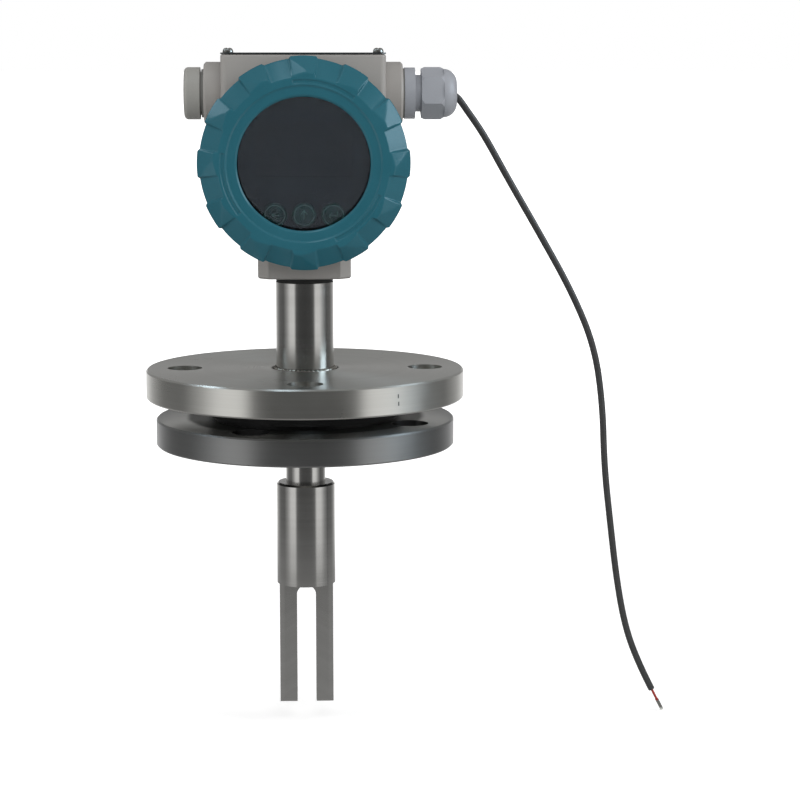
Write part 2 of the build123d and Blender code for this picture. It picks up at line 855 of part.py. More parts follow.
def make_leads():
    """Two leads from the cable's sheath, inside the head, down to the terminal block."""
    top = head_z - terminal_drop + terminal_h / 2
    leads = []
    for side in (-1, 1):
        points = [
            (sheath_start, side * core_spread, conduit_z),
            (sheath_start / 2, side * core_spread, conduit_z),
            (side * terminal_pitch / 2, side * core_spread, conduit_z - conduit_rise / 3),
            (side * terminal_pitch / 2, side * core_spread, top),
        ]
        leads.append(wire(points, 2 * lead_d, lead_d))
    return as_one(leads)


def make_sensor_wires():
    """Four wires from the clamp bar, through neck and stem, to the socket on the dividing wall."""
    low = fork_spigot_top + crystal_height + clamp_bar_t
    bend_low = low + 2 * clamp_bar_t
    bend_high = probe_top - 2 * probe_cap_t
    wires = []
    for x in (-1, 1):
        for y in (-1, 1):
            points = [
                (x * crystal_offset, y * sensor_wire_spread, low),
                (x * crystal_offset, y * sensor_wire_spread, bend_low),
                (x * sensor_wire_inset, y * sensor_wire_spread, bend_high),
                (x * sensor_wire_inset, y * sensor_wire_spread, socket_base),
            ]
            wires.append(wire(points, 5 * sensor_wire_d, sensor_wire_d))
    return as_one(wires)


nodes = {}

# Flanges, stem and probe
nodes["process_flange"] = make_process_flange()
nodes["flange_gasket"] = tube(gasket_od / 2, companion_bore_d / 2, companion_top, gasket_top)
nodes["companion_flange"] = make_companion_flange()
nodes["stem_tube"] = make_stem()
nodes["neck_seal"] = tube(neck_seal_od / 2, stem_spigot_d / 2 + fit_gap, stem_shoulder, boss_bottom)
nodes["probe_neck"] = tube(
    probe_neck_od / 2, probe_neck_od / 2 - probe_neck_wall, probe_top, stem_seat + probe_neck_overlap
)
nodes["probe_body"] = make_probe_body()
nodes["tuning_fork"] = make_fork()

# Inside the probe
crystal_top = fork_spigot_top + crystal_height
bar_top = crystal_top + clamp_bar_t
nodes["drive_crystal"] = rod(crystal_d / 2, fork_spigot_top, crystal_top, -crystal_offset)
nodes["pickup_crystal"] = rod(crystal_d / 2, fork_spigot_top, crystal_top, crystal_offset)
nodes["crystal_clamp_bar"] = slab(clamp_bar_length, clamp_bar_width, crystal_top, bar_top) - rod(
    clamp_screw_d / 2 + fit_gap, fork_spigot_top, bar_top + drill_run
)
nodes["crystal_clamp_screw"] = rod(clamp_screw_d / 2, fork_spigot_top, bar_top) + rod(
    clamp_head_d / 2, bar_top, bar_top + clamp_head_h
)
nodes["temperature_sensor"] = rod(
    thermometer_d / 2, fork_spigot_top, fork_spigot_top + thermometer_length, 0, thermometer_offset
)
nodes["sensor_wires"] = make_sensor_wires()
nodes["sensor_socket"] = Pos(0, -wall_front + wall_t, socket_base) * Box(
    socket_w, socket_depth, socket_h, align=(Align.CENTER, Align.MIN, Align.MIN)
)

# Head
nodes["housing_body"] = make_housing()
nodes["front_cover"] = make_front_cover()
nodes["rear_cover"] = make_rear_cover()
seal_r = thread_r + fit_gap
nodes["front_cover_seal"] = front * tube(
    seal_r + cover_seal_w, seal_r, barrel_half, barrel_half + cover_seal_t
)
nodes["rear_cover_seal"] = rear * tube(
    seal_r + cover_seal_w, seal_r, barrel_half, barrel_half + cover_seal_t
)
nodes["name_plate"] = make_name_plate()
nodes["name_plate_screws"] = make_plate_screws()
earth_place = Pos(0, boss_bottom + earth_rise - head_z, 0)
earth_seat = boss_width / 2 + earth_washer_t
nodes["earth_washer"] = rear * earth_place * tube(
    earth_washer_d / 2, earth_screw_d / 2 + fit_gap, boss_width / 2, earth_seat
)
nodes["earth_screw"] = rear * earth_place * (
    rod(earth_screw_d / 2 - fit_gap, boss_width / 2 - earth_screw_length, earth_seat)
    + rod(earth_head_d / 2, earth_seat, earth_seat + earth_head_h)
)

# Window
nodes["window_gasket"] = front * tube(glass_r, window_ring_bore_r, glass_front, lip_back)
nodes["window_glass"] = front * rod(glass_r, glass_back, glass_front)
nodes["window_ring"] = make_window_ring()

# Display
nodes["display_face_plate"] = make_face_plate()
nodes["lcd_panel"] = front * slab(lcd_w, lcd_h, display_board_front, face_plate_back, 0, lcd_rise)
nodes["key_left"] = make_key(-key_pitch)
nodes["key_middle"] = make_key(0)
nodes["key_right"] = make_key(key_pitch)
nodes["key_switches"] = make_switches()
nodes["display_screws"] = make_display_screws()
nodes["display_board"] = front * rod(display_board_r, display_board_back, display_board_front)
nodes["display_pillars"] = make_pillars(main_board_front, display_board_back)
nodes["board_connector"] = front * slab(
    connector_w, connector_h, main_board_front, display_board_back, 0, -connector_drop
)
nodes["main_board"] = front * slab(main_board_w, main_board_h, main_board_back, main_board_front)
nodes["main_board_pillars"] = make_pillars(wall_front, main_board_back)

# Terminal compartment
nodes["terminal_block"] = make_terminal_block()
nodes["terminal_screws"] = make_terminal_screws()
nodes["terminal_block_screws"] = make_fixing_screws()
nodes["cable_leads"] = make_leads()

# Cable entries
nodes["plug_seal"] = left * tube(
    plug_seal_d / 2, conduit_thread_d / 2, conduit_boss_end, conduit_boss_end + plug_seal_t
)
nodes["blanking_plug"] = make_plug()
nodes["gland_seal"] = right * tube(gland_seal_d / 2, conduit_thread_d / 2, conduit_boss_end, collar_seat)
nodes["gland_body"] = make_gland_body()
nodes["gland_bush"] = make_gland_bush()
nodes["gland_thrust_washer"] = right * tube(
    gland_bore_d / 2 - fit_gap, cable_d / 2 + fit_gap, bush_end, bush_end + thrust_washer_t
)
nodes["gland_nut"] = make_gland_nut()

# Cable
nodes["cable_inner_sheath"] = right * rod(cable_d / 2, sheath_start, cable_exit)
radii = corner_radii(cable_route)
nodes["signal_cable"] = wire(cable_route, radii, cable_d)
nodes["cable_cores"] = make_core_ends(0, core_length, core_d)
nodes["cable_ferrules"] = make_core_ends(core_length, ferrule_length, ferrule_d)

for name, shape in nodes.items():
    export_step(shape, f"parts/{name}.step")

print("nodes", len(nodes))
print("cable radii", [round(r, 1) for r in radii])
cable_length = FilletPolyline(*cable_route, radius=radii).length
swept_length = nodes["signal_cable"].volume / (pi * (cable_d / 2) ** 2)
print("cable length", round(cable_length, 1), "and by its volume", round(swept_length, 1))
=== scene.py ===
# %% [markdown]
# # Dressing a vibrating fork density meter
#
# The solid parts of the meter come packed, each one in its own place. This lesson gives them their
# finishes, adds the surfaces that a solid modeller leaves too plain, and sets up the camera and the
# light of the photograph. Lengths are in metres, +Z is up, and the window faces -Y.

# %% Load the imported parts
from math import cos, pi, radians, sin, sqrt

import bmesh
import bpy
import numpy as np
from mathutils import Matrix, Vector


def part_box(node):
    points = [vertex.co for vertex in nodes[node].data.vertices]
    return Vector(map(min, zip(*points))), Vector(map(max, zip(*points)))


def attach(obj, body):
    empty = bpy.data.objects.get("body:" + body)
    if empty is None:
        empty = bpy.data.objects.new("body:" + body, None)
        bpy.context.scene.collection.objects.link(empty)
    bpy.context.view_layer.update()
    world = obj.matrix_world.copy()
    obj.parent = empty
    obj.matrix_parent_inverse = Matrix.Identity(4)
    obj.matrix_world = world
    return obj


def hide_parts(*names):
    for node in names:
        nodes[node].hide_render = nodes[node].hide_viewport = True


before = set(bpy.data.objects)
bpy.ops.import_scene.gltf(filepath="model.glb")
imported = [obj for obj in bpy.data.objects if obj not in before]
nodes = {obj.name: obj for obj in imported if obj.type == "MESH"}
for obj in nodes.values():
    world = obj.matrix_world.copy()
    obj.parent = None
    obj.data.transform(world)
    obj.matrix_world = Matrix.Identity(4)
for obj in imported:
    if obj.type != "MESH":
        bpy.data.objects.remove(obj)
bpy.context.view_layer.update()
mm = 0.001

# %% [markdown]
# ## The camera
# The flanges are circles in the real world, so the flatness of their ellipses gives the camera's
# height, and the lines that should be upright give its tilt. The meter stands left of the middle, so
# the camera stays in front of it and turns a little to the right.

# %% Set up the camera
photo_pixels = 800
lens_mm = 105.0
sensor_mm = 36.0
camera_distance = 1.207
camera_height = 0.178
tilt_down = radians(8.5)
turn_right = radians(2.35)
pixels_per_tangent = photo_pixels * lens_mm / sensor_mm

camera_data = bpy.data.cameras.new("camera")
camera_data.lens = lens_mm
camera_data.sensor_width = sensor_mm
camera = bpy.data.objects.new("camera", camera_data)
camera.location = (0.0, -camera_distance, camera_height)
camera.rotation_euler = (pi / 2 - tilt_down, 0.0, -turn_right)
bpy.context.scene.collection.objects.link(camera)
bpy.context.scene.camera = camera


def pixel_of(x, y, z):
    """Where a point lands in the photograph: its tangent to the camera's axis, times the focal length."""
    ahead = x * sin(turn_right) + (y + camera_distance) * cos(turn_right)
    aside = x * cos(turn_right) - (y + camera_distance) * sin(turn_right)
    up = z - camera_height
    depth = ahead * cos(tilt_down) - up * sin(tilt_down)
    rise = ahead * sin(tilt_down) + up * cos(tilt_down)
    column = photo_pixels / 2 + pixels_per_tangent * aside / depth
    row = photo_pixels / 2 - pixels_per_tangent * rise / depth
    return round(column, 1), round(row, 1)


head_low, head_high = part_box("front_cover")
head_z = (head_low.z + head_high.z) / 2
print("cover centre lands at", pixel_of(0, head_low.y, head_z))

# %% [markdown]
# ## Arithmetic on sockets
# A finish needs sums such as `1 - mask * wear`. Written with nodes by hand these take a line each, so
# one small class wraps a socket and turns each operator into a Math node.


# %% A socket that can be added and multiplied
class Signal:
    """A number or colour on its way through one finish's nodes."""

    def __init__(self, finish, socket):
        self.finish = finish
        self.socket = socket

    def math(self, operation, *values):
        """One Math node that works on sockets or plain numbers."""
        return self.finish.add("ShaderNodeMath", {"operation": operation}, dict(enumerate(values)))

    def __add__(self, other):
        return self.math("ADD", self, other)

    def __sub__(self, other):
        return self.math("SUBTRACT", self, other)

    def __rsub__(self, other):
        return self.math("SUBTRACT", other, self)

    def __mul__(self, other):
        return self.math("MULTIPLY", self, other)

    def __truediv__(self, other):
        return self.math("DIVIDE", self, other)

    def __rtruediv__(self, other):
        return self.math("DIVIDE", other, self)

    def __pow__(self, other):
        return self.math("POWER", self, other)

    def __rpow__(self, other):
        return self.math("POWER", other, self)

    def above(self, limit, softness):
        """0 below a limit and 1 above it, with a soft step."""
        step = {"interpolation_type": "SMOOTHSTEP"}
        ends = {0: self, 1: limit - softness, 2: limit + softness}
        return self.finish.add("ShaderNodeMapRange", step, ends)

    __radd__ = __add__
    __rmul__ = __mul__


# %% A node tree and a finish
class Nodes:
    """A node tree, and a way to add any node to it."""

    def __init__(self, tree):
        self.tree = tree

    def add(self, kind, settings=None, sockets=None, output=0):
        """Adds a node: its settings are set first, and then its sockets are given values or links."""
        node = self.tree.nodes.new(kind)
        for name, value in (settings or {}).items():
            setattr(node, name, value)
        for name, value in (sockets or {}).items():
            self.feed(node.inputs[name], value)
        return Signal(self, node.outputs[output])

    def feed(self, socket, value):
        """Links a signal into a socket, or sets the socket's own number or colour."""
        if isinstance(value, Signal):
            self.tree.links.new(value.socket, socket)
        else:
            socket.default_value = value

    def seen(self):
        """1 for the rays of the camera, of mirrors and of glass, and 0 for the rays that light things."""
        kinds = ("Is Camera Ray", "Is Glossy Ray", "Is Transmission Ray")
        camera_ray, glossy_ray, glass_ray = [self.add("ShaderNodeLightPath", output=kind) for kind in kinds]
        return camera_ray + glossy_ray + glass_ray


class Finish(Nodes):
    """One material: its Principled shader and the patterns that feed it."""

    def __init__(self, name, **plain):
        self.material = bpy.data.materials.new(name)
        self.material.use_nodes = True
        super().__init__(self.material.node_tree)
        self.shader = self.tree.nodes["Principled BSDF"]
        for socket, value in plain.items():
            self.shader.inputs[socket.replace("_", " ")].default_value = value

    def paint(self, **wanted):
        """Feeds the Principled shader's sockets, as in paint(Base_Color=..., Roughness=...)."""
        for socket, value in wanted.items():
            self.feed(self.shader.inputs[socket.replace("_", " ")], value)
        return self

    def place(self):
        """The x, y and z of the point on the piece, in metres."""
        point = self.add("ShaderNodeTexCoord", output="Object")
        return [self.add("ShaderNodeSeparateXYZ", None, {0: point}, output=i) for i in range(3)]

    def noise(self, scale, detail=2, stretch=(1, 1, 1), at=None):
        """Smooth noise with so many lumps per metre, stretched along the axes."""
        point = at or self.add("ShaderNodeTexCoord", output="Object")
        scaled = self.add("ShaderNodeMapping", {"vector_type": "POINT"}, {0: point, 3: stretch})
        return self.add("ShaderNodeTexNoise", None, {"Vector": scaled, "Scale": scale, "Detail": detail})

    def between(self, first, second, share):
        """A mix of two colours."""
        mix = {"data_type": "RGBA", "clamp_factor": True}
        return self.add("ShaderNodeMix", mix, {0: share, 6: first, 7: second}, output=2)

    def bump(self, height, depth):
        """Surface relief of so many metres."""
        return self.add("ShaderNodeBump", None, {"Height": height, "Distance": depth, "Strength": 1.0})


def tone(red, green, blue):
    """A screen colour from 0 to 255, as the linear colour that the shader wants."""
    screen = np.array([red, green, blue]) / 255
    linear = np.where(screen <= 0.04045, screen / 12.92, ((screen + 0.055) / 1.055) ** 2.4)
    return (*(float(c) for c in linear), 1.0)


def dress(finish, *names):
    """Puts a finish on CAD nodes."""
    for name in names:
        mesh = nodes[name].data
        mesh.materials.clear()
        mesh.materials.append(finish.material)


# %% [markdown]
# ## Painted castings
# The covers are sprayed blue-green and the head casting is grey. Both paints lie over a die casting, so
# they have a fine orange-peel relief and slight differences in tone.


# %% Paint
peel_depth = 0.03 * mm


def sprayed(name, colour, thin, roughness, gloss):
    """Paint with orange peel: fine noise moves the surface, and wide noise shifts the colour."""
    finish = Finish(name, Specular_IOR_Level=gloss)
    cloud = finish.noise(scale=45, detail=3)
    speck = finish.noise(scale=2600, detail=1)
    share = (cloud - 0.5) * 0.5 + (speck - 0.5) * 0.35 + 0.3
    peel = finish.noise(scale=900)
    return finish.paint(
        Base_Color=finish.between(colour, thin, share),
        Roughness=(cloud - 0.5) * 0.12 + roughness,
        Normal=finish.bump(peel, peel_depth),
    )


cover_paint = sprayed("cover_paint", tone(32, 86, 99), tone(44, 102, 117), roughness=0.2, gloss=0.36)
casting_paint = sprayed(
    "casting_paint", tone(147, 144, 141), tone(160, 157, 153), roughness=0.5, gloss=0.4,
)
dress(casting_paint, "housing_body", "window_ring")
dress(cover_paint, "front_cover", "rear_cover")
print("paints ready")

# %% [markdown]
# ## Turned stainless steel
# Flanges, stem and probe come off a lathe. The tool leaves rings, which lie at one radius on a face
# and at one height on a rim. The sum of radius and height stays the same along each ring on both, so
# noise read along that one number draws the rings everywhere. The rings also smear a reflection across
# themselves and leave it sharp along themselves, which is what the shader's Anisotropic value does once
# it is turned by a quarter. Painted shade darkens the lower flange's face near the axis, where the upper
# flange shades it, and the same dark colour draws the punch marks on the upper flange's rim.


# %% Turned steel
# painted shade: the dark colour of the shade between the two flanges, also used for the punch marks
shade_and_punch_colour = tone(84, 85, 85)
painted_shade_wander = 4 * mm
painted_shade_fade = 2 * mm
punch_half_width = 0.28 * mm
punch_half_height = 1 * mm
punch_in_front = 30 * mm


def turned_steel(name, colour, bright, roughness, ring_depth, painted_shade_radius=0.0, punched=()):
    """Lathe rings: noise along radius plus height, with a slower cloud of handling marks.

    Painted shade darkens every point that is nearer the axis than the given shade radius, where one
    flange shades the other, and the marks move its edge in and out. punched holds the (x, z) of upright
    punch marks on the front of the rim, drawn in the same dark colour.
    """
    finish = Finish(name, Metallic=1.0, Anisotropic=0.75, Anisotropic_Rotation=0.25)
    x, y, z = finish.place()
    radius = (x * x + y * y) ** 0.5
    along = finish.add("ShaderNodeCombineXYZ", None, {0: radius + z})
    rings = finish.noise(scale=1400, detail=3, at=along)
    bands = finish.noise(scale=160, at=along)
    marks = finish.noise(scale=38, detail=4)
    share = (rings - 0.5) * 0.6 + (bands - 0.5) * 0.6 + (marks - 0.5) * 0.6 + 0.45
    # painted shade: darker nearer the axis, where the upper flange shades the lower one; punch marks are
    # added below
    shade_and_punches = 1 - (radius + (marks - 0.5) * painted_shade_wander).above(painted_shade_radius, painted_shade_fade)
    for mark_x, mark_z in punched:
        beside = 1 - x.math("ABSOLUTE", x - mark_x).above(punch_half_width, 0.1 * mm)
        level = 1 - x.math("ABSOLUTE", z - mark_z).above(punch_half_height, 0.2 * mm)
        shade_and_punches = shade_and_punches + beside * level * (y * -1).above(punch_in_front, 10 * mm)
    return finish.paint(
        Base_Color=finish.between(finish.between(colour, bright, share), shade_and_punch_colour, shade_and_punches),
        Roughness=(marks - 0.5) * 0.14 + (rings - 0.5) * 0.08 + shade_and_punches * 0.2 + roughness,
        Normal=finish.bump(rings, ring_depth),
    )


punch_marks = [(45.9 * mm, 9.6 * mm), (46.1 * mm, 5.8 * mm)]
flange_steel = turned_steel(
    "flange_steel", tone(206, 205, 199), tone(232, 231, 226), roughness=0.3, ring_depth=0.005 * mm,
    punched=punch_marks,
)
lower_steel = turned_steel(
    "lower_steel", tone(146, 147, 147), tone(172, 172, 171), roughness=0.4, ring_depth=0.006 * mm,
    # the painted shade between the two flanges reaches out to this radius
    painted_shade_radius=61 * mm,
)
stem_steel = turned_steel(
    "stem_steel", tone(182, 181, 178), tone(212, 211, 208), roughness=0.18, ring_depth=0.002 * mm,
)
dress(flange_steel, "process_flange")
dress(lower_steel, "companion_flange")
dress(stem_steel, "stem_tube", "probe_neck", "probe_body", "tuning_fork")
print("turned steel ready")

# %% [markdown]
# ## Small metal, rubber and moulded pieces
# The many small pieces share a few finishes. Each has its own grain: cast rubber is faintly dusty,
# moulded plastic has a spark-eroded skin, and small screws are bright where they are turned.


# %% Small finishes
def grained(name, colour, other, roughness, grain, depth, **plain):
    """A moulded or worked skin: one grain noise for colour, roughness and relief.

    grain is in lumps per metre, and depth is the height of its relief.
    """
    finish = Finish(name, **plain)
    fine = finish.noise(grain)
    wide = finish.noise(scale=70)
    return finish.paint(
        Base_Color=finish.between(colour, other, (fine - 0.5) * 0.6 + (wide - 0.5) * 0.6 + 0.4),
        Roughness=(fine - 0.5) * 0.15 + (wide - 0.5) * 0.1 + roughness,
        Normal=finish.bump(fine, depth),
    )


# %% Rubber, plastic and ceramic
rubber = grained("rubber", tone(30, 31, 31), tone(48, 48, 47), 0.65, 1800, 0.04 * mm)
grey_rubber = grained("grey_rubber", tone(112, 112, 110), tone(130, 130, 127), 0.7, 1800, 0.04 * mm)
gasket = grained("gasket", tone(38, 39, 41), tone(58, 58, 57), 0.8, 1200, 0.08 * mm)
gland_plastic = grained("gland_plastic", tone(142, 145, 152), tone(158, 161, 167), 0.42, 2400, 0.02 * mm)
plug_plastic = grained("plug_plastic", tone(142, 141, 137), tone(158, 157, 152), 0.5, 2000, 0.04 * mm)
black_plastic = grained("black_plastic", tone(32, 33, 35), tone(46, 47, 49), 0.45, 2200, 0.03 * mm)
board = grained("board", tone(22, 84, 58), tone(34, 104, 70), 0.35, 1500, 0.03 * mm)
ceramic = grained("ceramic", tone(216, 208, 184), tone(228, 222, 204), 0.5, 1800, 0.02 * mm)
red_insulation = grained("red_insulation", tone(150, 40, 34), tone(170, 56, 46), 0.4, 1200, 0.02 * mm)
print("finishes", len(bpy.data.materials))

# %% Plastic behind the glass
dull = {"Specular_IOR_Level": 0.02}  # it gets no second gloss
face_plastic = grained("face_plastic", tone(27, 33, 38), tone(31, 37, 42), 0.6, 1600, 0.004 * mm, **dull)
key_plastic = grained("key_plastic", tone(30, 75, 66), tone(38, 83, 74), 0.5, 1600, 0.004 * mm, **dull)
lcd_glass = grained("lcd_glass", tone(23, 26, 30), tone(26, 29, 33), 0.4, 900, 0.002 * mm, **dull)
print("finishes", len(bpy.data.materials))

# %% Small metal
metal = {"Metallic": 1.0}
screw_steel = grained("screw_steel", tone(160, 160, 156), tone(196, 195, 190), 0.3, 1500, 0.02 * mm, **metal)
bare_brass = grained("bare_brass", tone(196, 164, 96), tone(214, 184, 118), 0.3, 1500, 0.02 * mm, **metal)
plate_metal = grained("plate_metal", tone(120, 121, 121), tone(150, 150, 149), 0.42, 1500, 0.02 * mm, **metal)
print("finishes", len(bpy.data.materials))

# %% Dress the small pieces
dress(rubber, "neck_seal", "front_cover_seal", "rear_cover_seal", "window_gasket", "gland_bush")
dress(grey_rubber, "plug_seal", "gland_seal")
dress(gasket, "flange_gasket")
dress(gland_plastic, "gland_body", "gland_nut")
dress(plug_plastic, "blanking_plug")
dress(
    black_plastic, "terminal_block", "board_connector", "key_switches", "sensor_socket",
    "gland_thrust_washer",
)
dress(face_plastic, "display_face_plate", "display_screws")
dress(key_plastic, "key_left", "key_middle", "key_right")
dress(lcd_glass, "lcd_panel")
dress(board, "display_board", "main_board")
dress(ceramic, "drive_crystal", "pickup_crystal")
dress(red_insulation, "sensor_wires", "cable_leads", "cable_cores")
dress(
    screw_steel, "name_plate_screws", "earth_screw", "earth_washer", "terminal_screws",
    "terminal_block_screws", "crystal_clamp_bar", "crystal_clamp_screw", "temperature_sensor",
    "cable_ferrules",
)
dress(bare_brass, "display_pillars", "main_board_pillars")
dress(plate_metal, "name_plate")
print("small pieces dressed")

# %% [markdown]
# ## The window
# A thick flat disc of toughened glass. It is lightly tinted, so the display behind it shows only
# faintly. Its own tint and its smooth surface are all it needs, and a trace of wiped dust breaks up the
# reflection.

# %% Window glass
window_glass = Finish("window_glass", Transmission_Weight=1.0, IOR=1.48)
wiped = window_glass.noise(scale=60, detail=3, stretch=(1, 1, 3))
window_glass.paint(
    Base_Color=window_glass.between(tone(176, 188, 200), tone(184, 195, 206), wiped),
    Roughness=wiped * 0.03 + 0.01,
)
dress(window_glass, "window_glass")
print("window glass ready")

# %% [markdown]
# ## The signal cable
# A limp round cable leaves the gland, droops in one long curve and hangs to the table's height. It is a
# NURBS curve with a round bevel, and its control points are the cable route's own points, so it lies
# where the solid cable lies. The order is set after the points are in, or it would fall back to
# straight runs.

# %% Lay the cable
cable_diameter = 3.5 * mm
cable_route = [
    (0.07255, 0.0, 0.1567),
    (0.0752, 0.0, 0.1567),
    (0.0789, 0.0, 0.1549),
    (0.0816, 0.0001, 0.1514),
    (0.0846, 0.0002, 0.1471),
    (0.0891, 0.0003, 0.1409),
    (0.0950, 0.0006, 0.1317),
    (0.1052, 0.0010, 0.1133),
    (0.1224, 0.0016, 0.0840),
    (0.1396, 0.0024, 0.0535),
    (0.1518, 0.0034, 0.0250),
    (0.1566, 0.0040, -0.0060),
    (0.1579, 0.0042, -0.0390),
    (0.1614, 0.0042, -0.0690),
    (0.1654, 0.0046, -0.1010),
    (0.1706, 0.0056, -0.1275),
    (0.1786, 0.0074, -0.1484),
    (0.1858, 0.0096, -0.1624),
]
cable_curve = bpy.data.curves.new("cable", "CURVE")
cable_curve.dimensions = "3D"
cable_curve.bevel_depth = cable_diameter / 2
cable_curve.bevel_resolution = 8
cable_curve.use_fill_caps = True
spline = cable_curve.splines.new("NURBS")
spline.points.add(len(cable_route) - 1)
spline.points.foreach_set("co", [c for point in cable_route for c in (*point, 1.0)])
spline.order_u = 3
spline.use_endpoint_u = True
spline.resolution_u = 12
cable = bpy.data.objects.new("cable", cable_curve)
bpy.context.scene.collection.objects.link(cable)
cable_jacket = grained("cable_jacket", tone(50, 51, 52), tone(66, 66, 66), 0.42, 900, 0.03 * mm)
cable_curve.materials.append(cable_jacket.material)
dress(cable_jacket, "cable_inner_sheath", "signal_cable")
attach(cable, "meter")
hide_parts("signal_cable")
print("cable points", len(cable_route), "ends at", pixel_of(*cable_route[-1]))

# %% [markdown]
# ## Surfaces as grids of numbers
# The next pieces are surfaces of two parameters. A function returns the points of a whole grid at
# once, and one helper turns any such grid into a mesh.


# %% From a grid to a mesh
def faces_of(rows, columns, ring):
    """Four-sided faces between neighbouring rows and columns, closed into a ring where asked."""
    index = np.arange(rows * columns).reshape(rows, columns)
    beside = np.roll(index, -1, axis=1)
    quads = np.stack([index[:-1], beside[:-1], beside[1:], index[1:]], axis=-1)
    return (quads if ring else quads[:, :-1]).reshape(-1, 4)


def surface_mesh(name, grids, ring=True):
    """One mesh from grids of points[row, column], with seams and poles merged and faces turned out."""
    points, faces, start = [], [], 0
    for grid in grids:
        points.append(grid.reshape(-1, 3))
        faces.append(faces_of(*grid.shape[:2], ring) + start)
        start += grid.shape[0] * grid.shape[1]
    mesh = bpy.data.meshes.new(name)
    mesh.from_pydata(np.concatenate(points).tolist(), [], np.concatenate(faces).tolist())
    shell = bmesh.new()
    shell.from_mesh(mesh)
    bmesh.ops.remove_doubles(shell, verts=shell.verts, dist=1e-6)
    bmesh.ops.dissolve_degenerate(shell, edges=shell.edges, dist=1e-7)
    bmesh.ops.recalc_face_normals(shell, faces=shell.faces)
    shell.to_mesh(mesh)
    shell.free()
    mesh.polygons.foreach_set("use_smooth", np.ones(len(mesh.polygons), bool))
    return mesh


def grid_piece(name, grids, finish, body):
    """A piece of the meter from one or more grids of points."""
    mesh = surface_mesh(name, grids)
    mesh.materials.append(finish.material)
    piece = bpy.data.objects.new(name, mesh)
    bpy.context.scene.collection.objects.link(piece)
    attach(piece, body)
    print(name, len(mesh.polygons), "faces")
    return piece


def smooth_step(values, edge_low, edge_high):
    """0 below the low edge, 1 above the high one, and 3t^2 - 2t^3 between them."""
    share = np.clip((values - edge_low) / (edge_high - edge_low), 0, 1)
    return share * share * (3 - 2 * share)


# %% [markdown]
# ## The lugged covers
# The cast cover has twelve grip lugs. Each one stands on the cover's cone, and its end face has a
# ridge from its inner clockwise corner to its outer anticlockwise one. That gives each lug two
# facets, which catch the windows of a room at different places round the cover. Three arc grooves, a
# shallow step and a chamfer lie round the window, and their sloping walls are its bright lines. A Bevel
# modifier would soften every edge alike. Here the cover becomes one surface over angle and profile, so
# each edge gets the softness that casting and paint give it.

# %% Sizes of the covers
rim_radius = 51.5 * mm
lug_radius = 52.6 * mm
lip_radius = 42.2 * mm
cone_depth = 7.6 * mm
cone_fall = cone_depth / (rim_radius - lip_radius)
cone_stretch = sqrt(1 + cone_fall ** 2)
lug_count = 12
lug_half = radians(7.5)
lug_low = 0.3 * mm
lug_high = 1.6 * mm
lug_set_back = 4.1 * mm
lug_back_soft = 1.2 * mm
ridge_soft = 0.002
edge_soft = radians(0.8)
thread_radius = 44.3 * mm
cover_back = 29.0 * mm
window_radius = 32.7 * mm
pocket_radius = 38.3 * mm
lip_depth = 4.2 * mm
shoulder = 42.8 * mm
groove_inner = 39.2 * mm
groove_outer = 41.0 * mm
groove_edge = 0.45 * mm
groove_depth = 0.55 * mm
groove_count = 3
groove_half = radians(22.5)
groove_centre = radians(75.0)
step_outer = 38.6 * mm
step_inner = 37.7 * mm
step_depth = 0.7 * mm
window_edge = 1.0 * mm
window_edge_depth = 0.85 * mm
front_softness = 0.3 * mm
rear_softness = 0.7 * mm
inside_softness = 0.4 * mm
# how near a row has to lie to count as on the cone, the rim or the flat front
cone_near = 0.6 * mm
rim_near = 0.9 * mm
flat_near = 0.1 * mm
print("the cone falls", round(cone_fall, 3), "for each unit of radius")


# %% Angles round a cover
def from_centre(angle, pitch, centre=0.0):
    """The angle to the nearest of the centres that repeat at a pitch, from -pitch/2 to +pitch/2."""
    return (angle - centre + pitch / 2) % pitch - pitch / 2


def lug_angles():
    """Angles round the cover, close together at the lugs' ends and wider apart between them."""
    pitch = 2 * pi / lug_count
    ends = np.linspace(-edge_soft, edge_soft, 9)
    across = np.linspace(-lug_half, lug_half, 19)[1:-1]
    valley = np.linspace(lug_half, pitch - lug_half, 9)[1:-1]
    one = np.sort(np.concatenate([ends - lug_half, across, ends + lug_half, valley]))
    return np.concatenate([one + i * pitch for i in range(lug_count)])


# %% Cover surface
def lug_height(radius, angle):
    """How high a lug stands over the cone, along the cover's axis.

    u runs across a lug from its clockwise end to its anticlockwise end, v from the cone's inner edge
    to its outer one. The height is low + (high - low) * (1 - |u - v|), whose ridge is where u equals v.
    |u - v| is the root of (u - v)^2 + ridge_soft, which rounds the ridge.
    """
    offset = from_centre(angle, 2 * pi / lug_count)
    u = np.clip(offset / (2 * lug_half) + 0.5, 0, 1)
    v = (radius - lip_radius) / (rim_radius - lip_radius)
    off_ridge = np.sqrt((u - v) ** 2 + ridge_soft)
    return (lug_low + (lug_high - lug_low) * (1 - off_ridge)) * cone_stretch


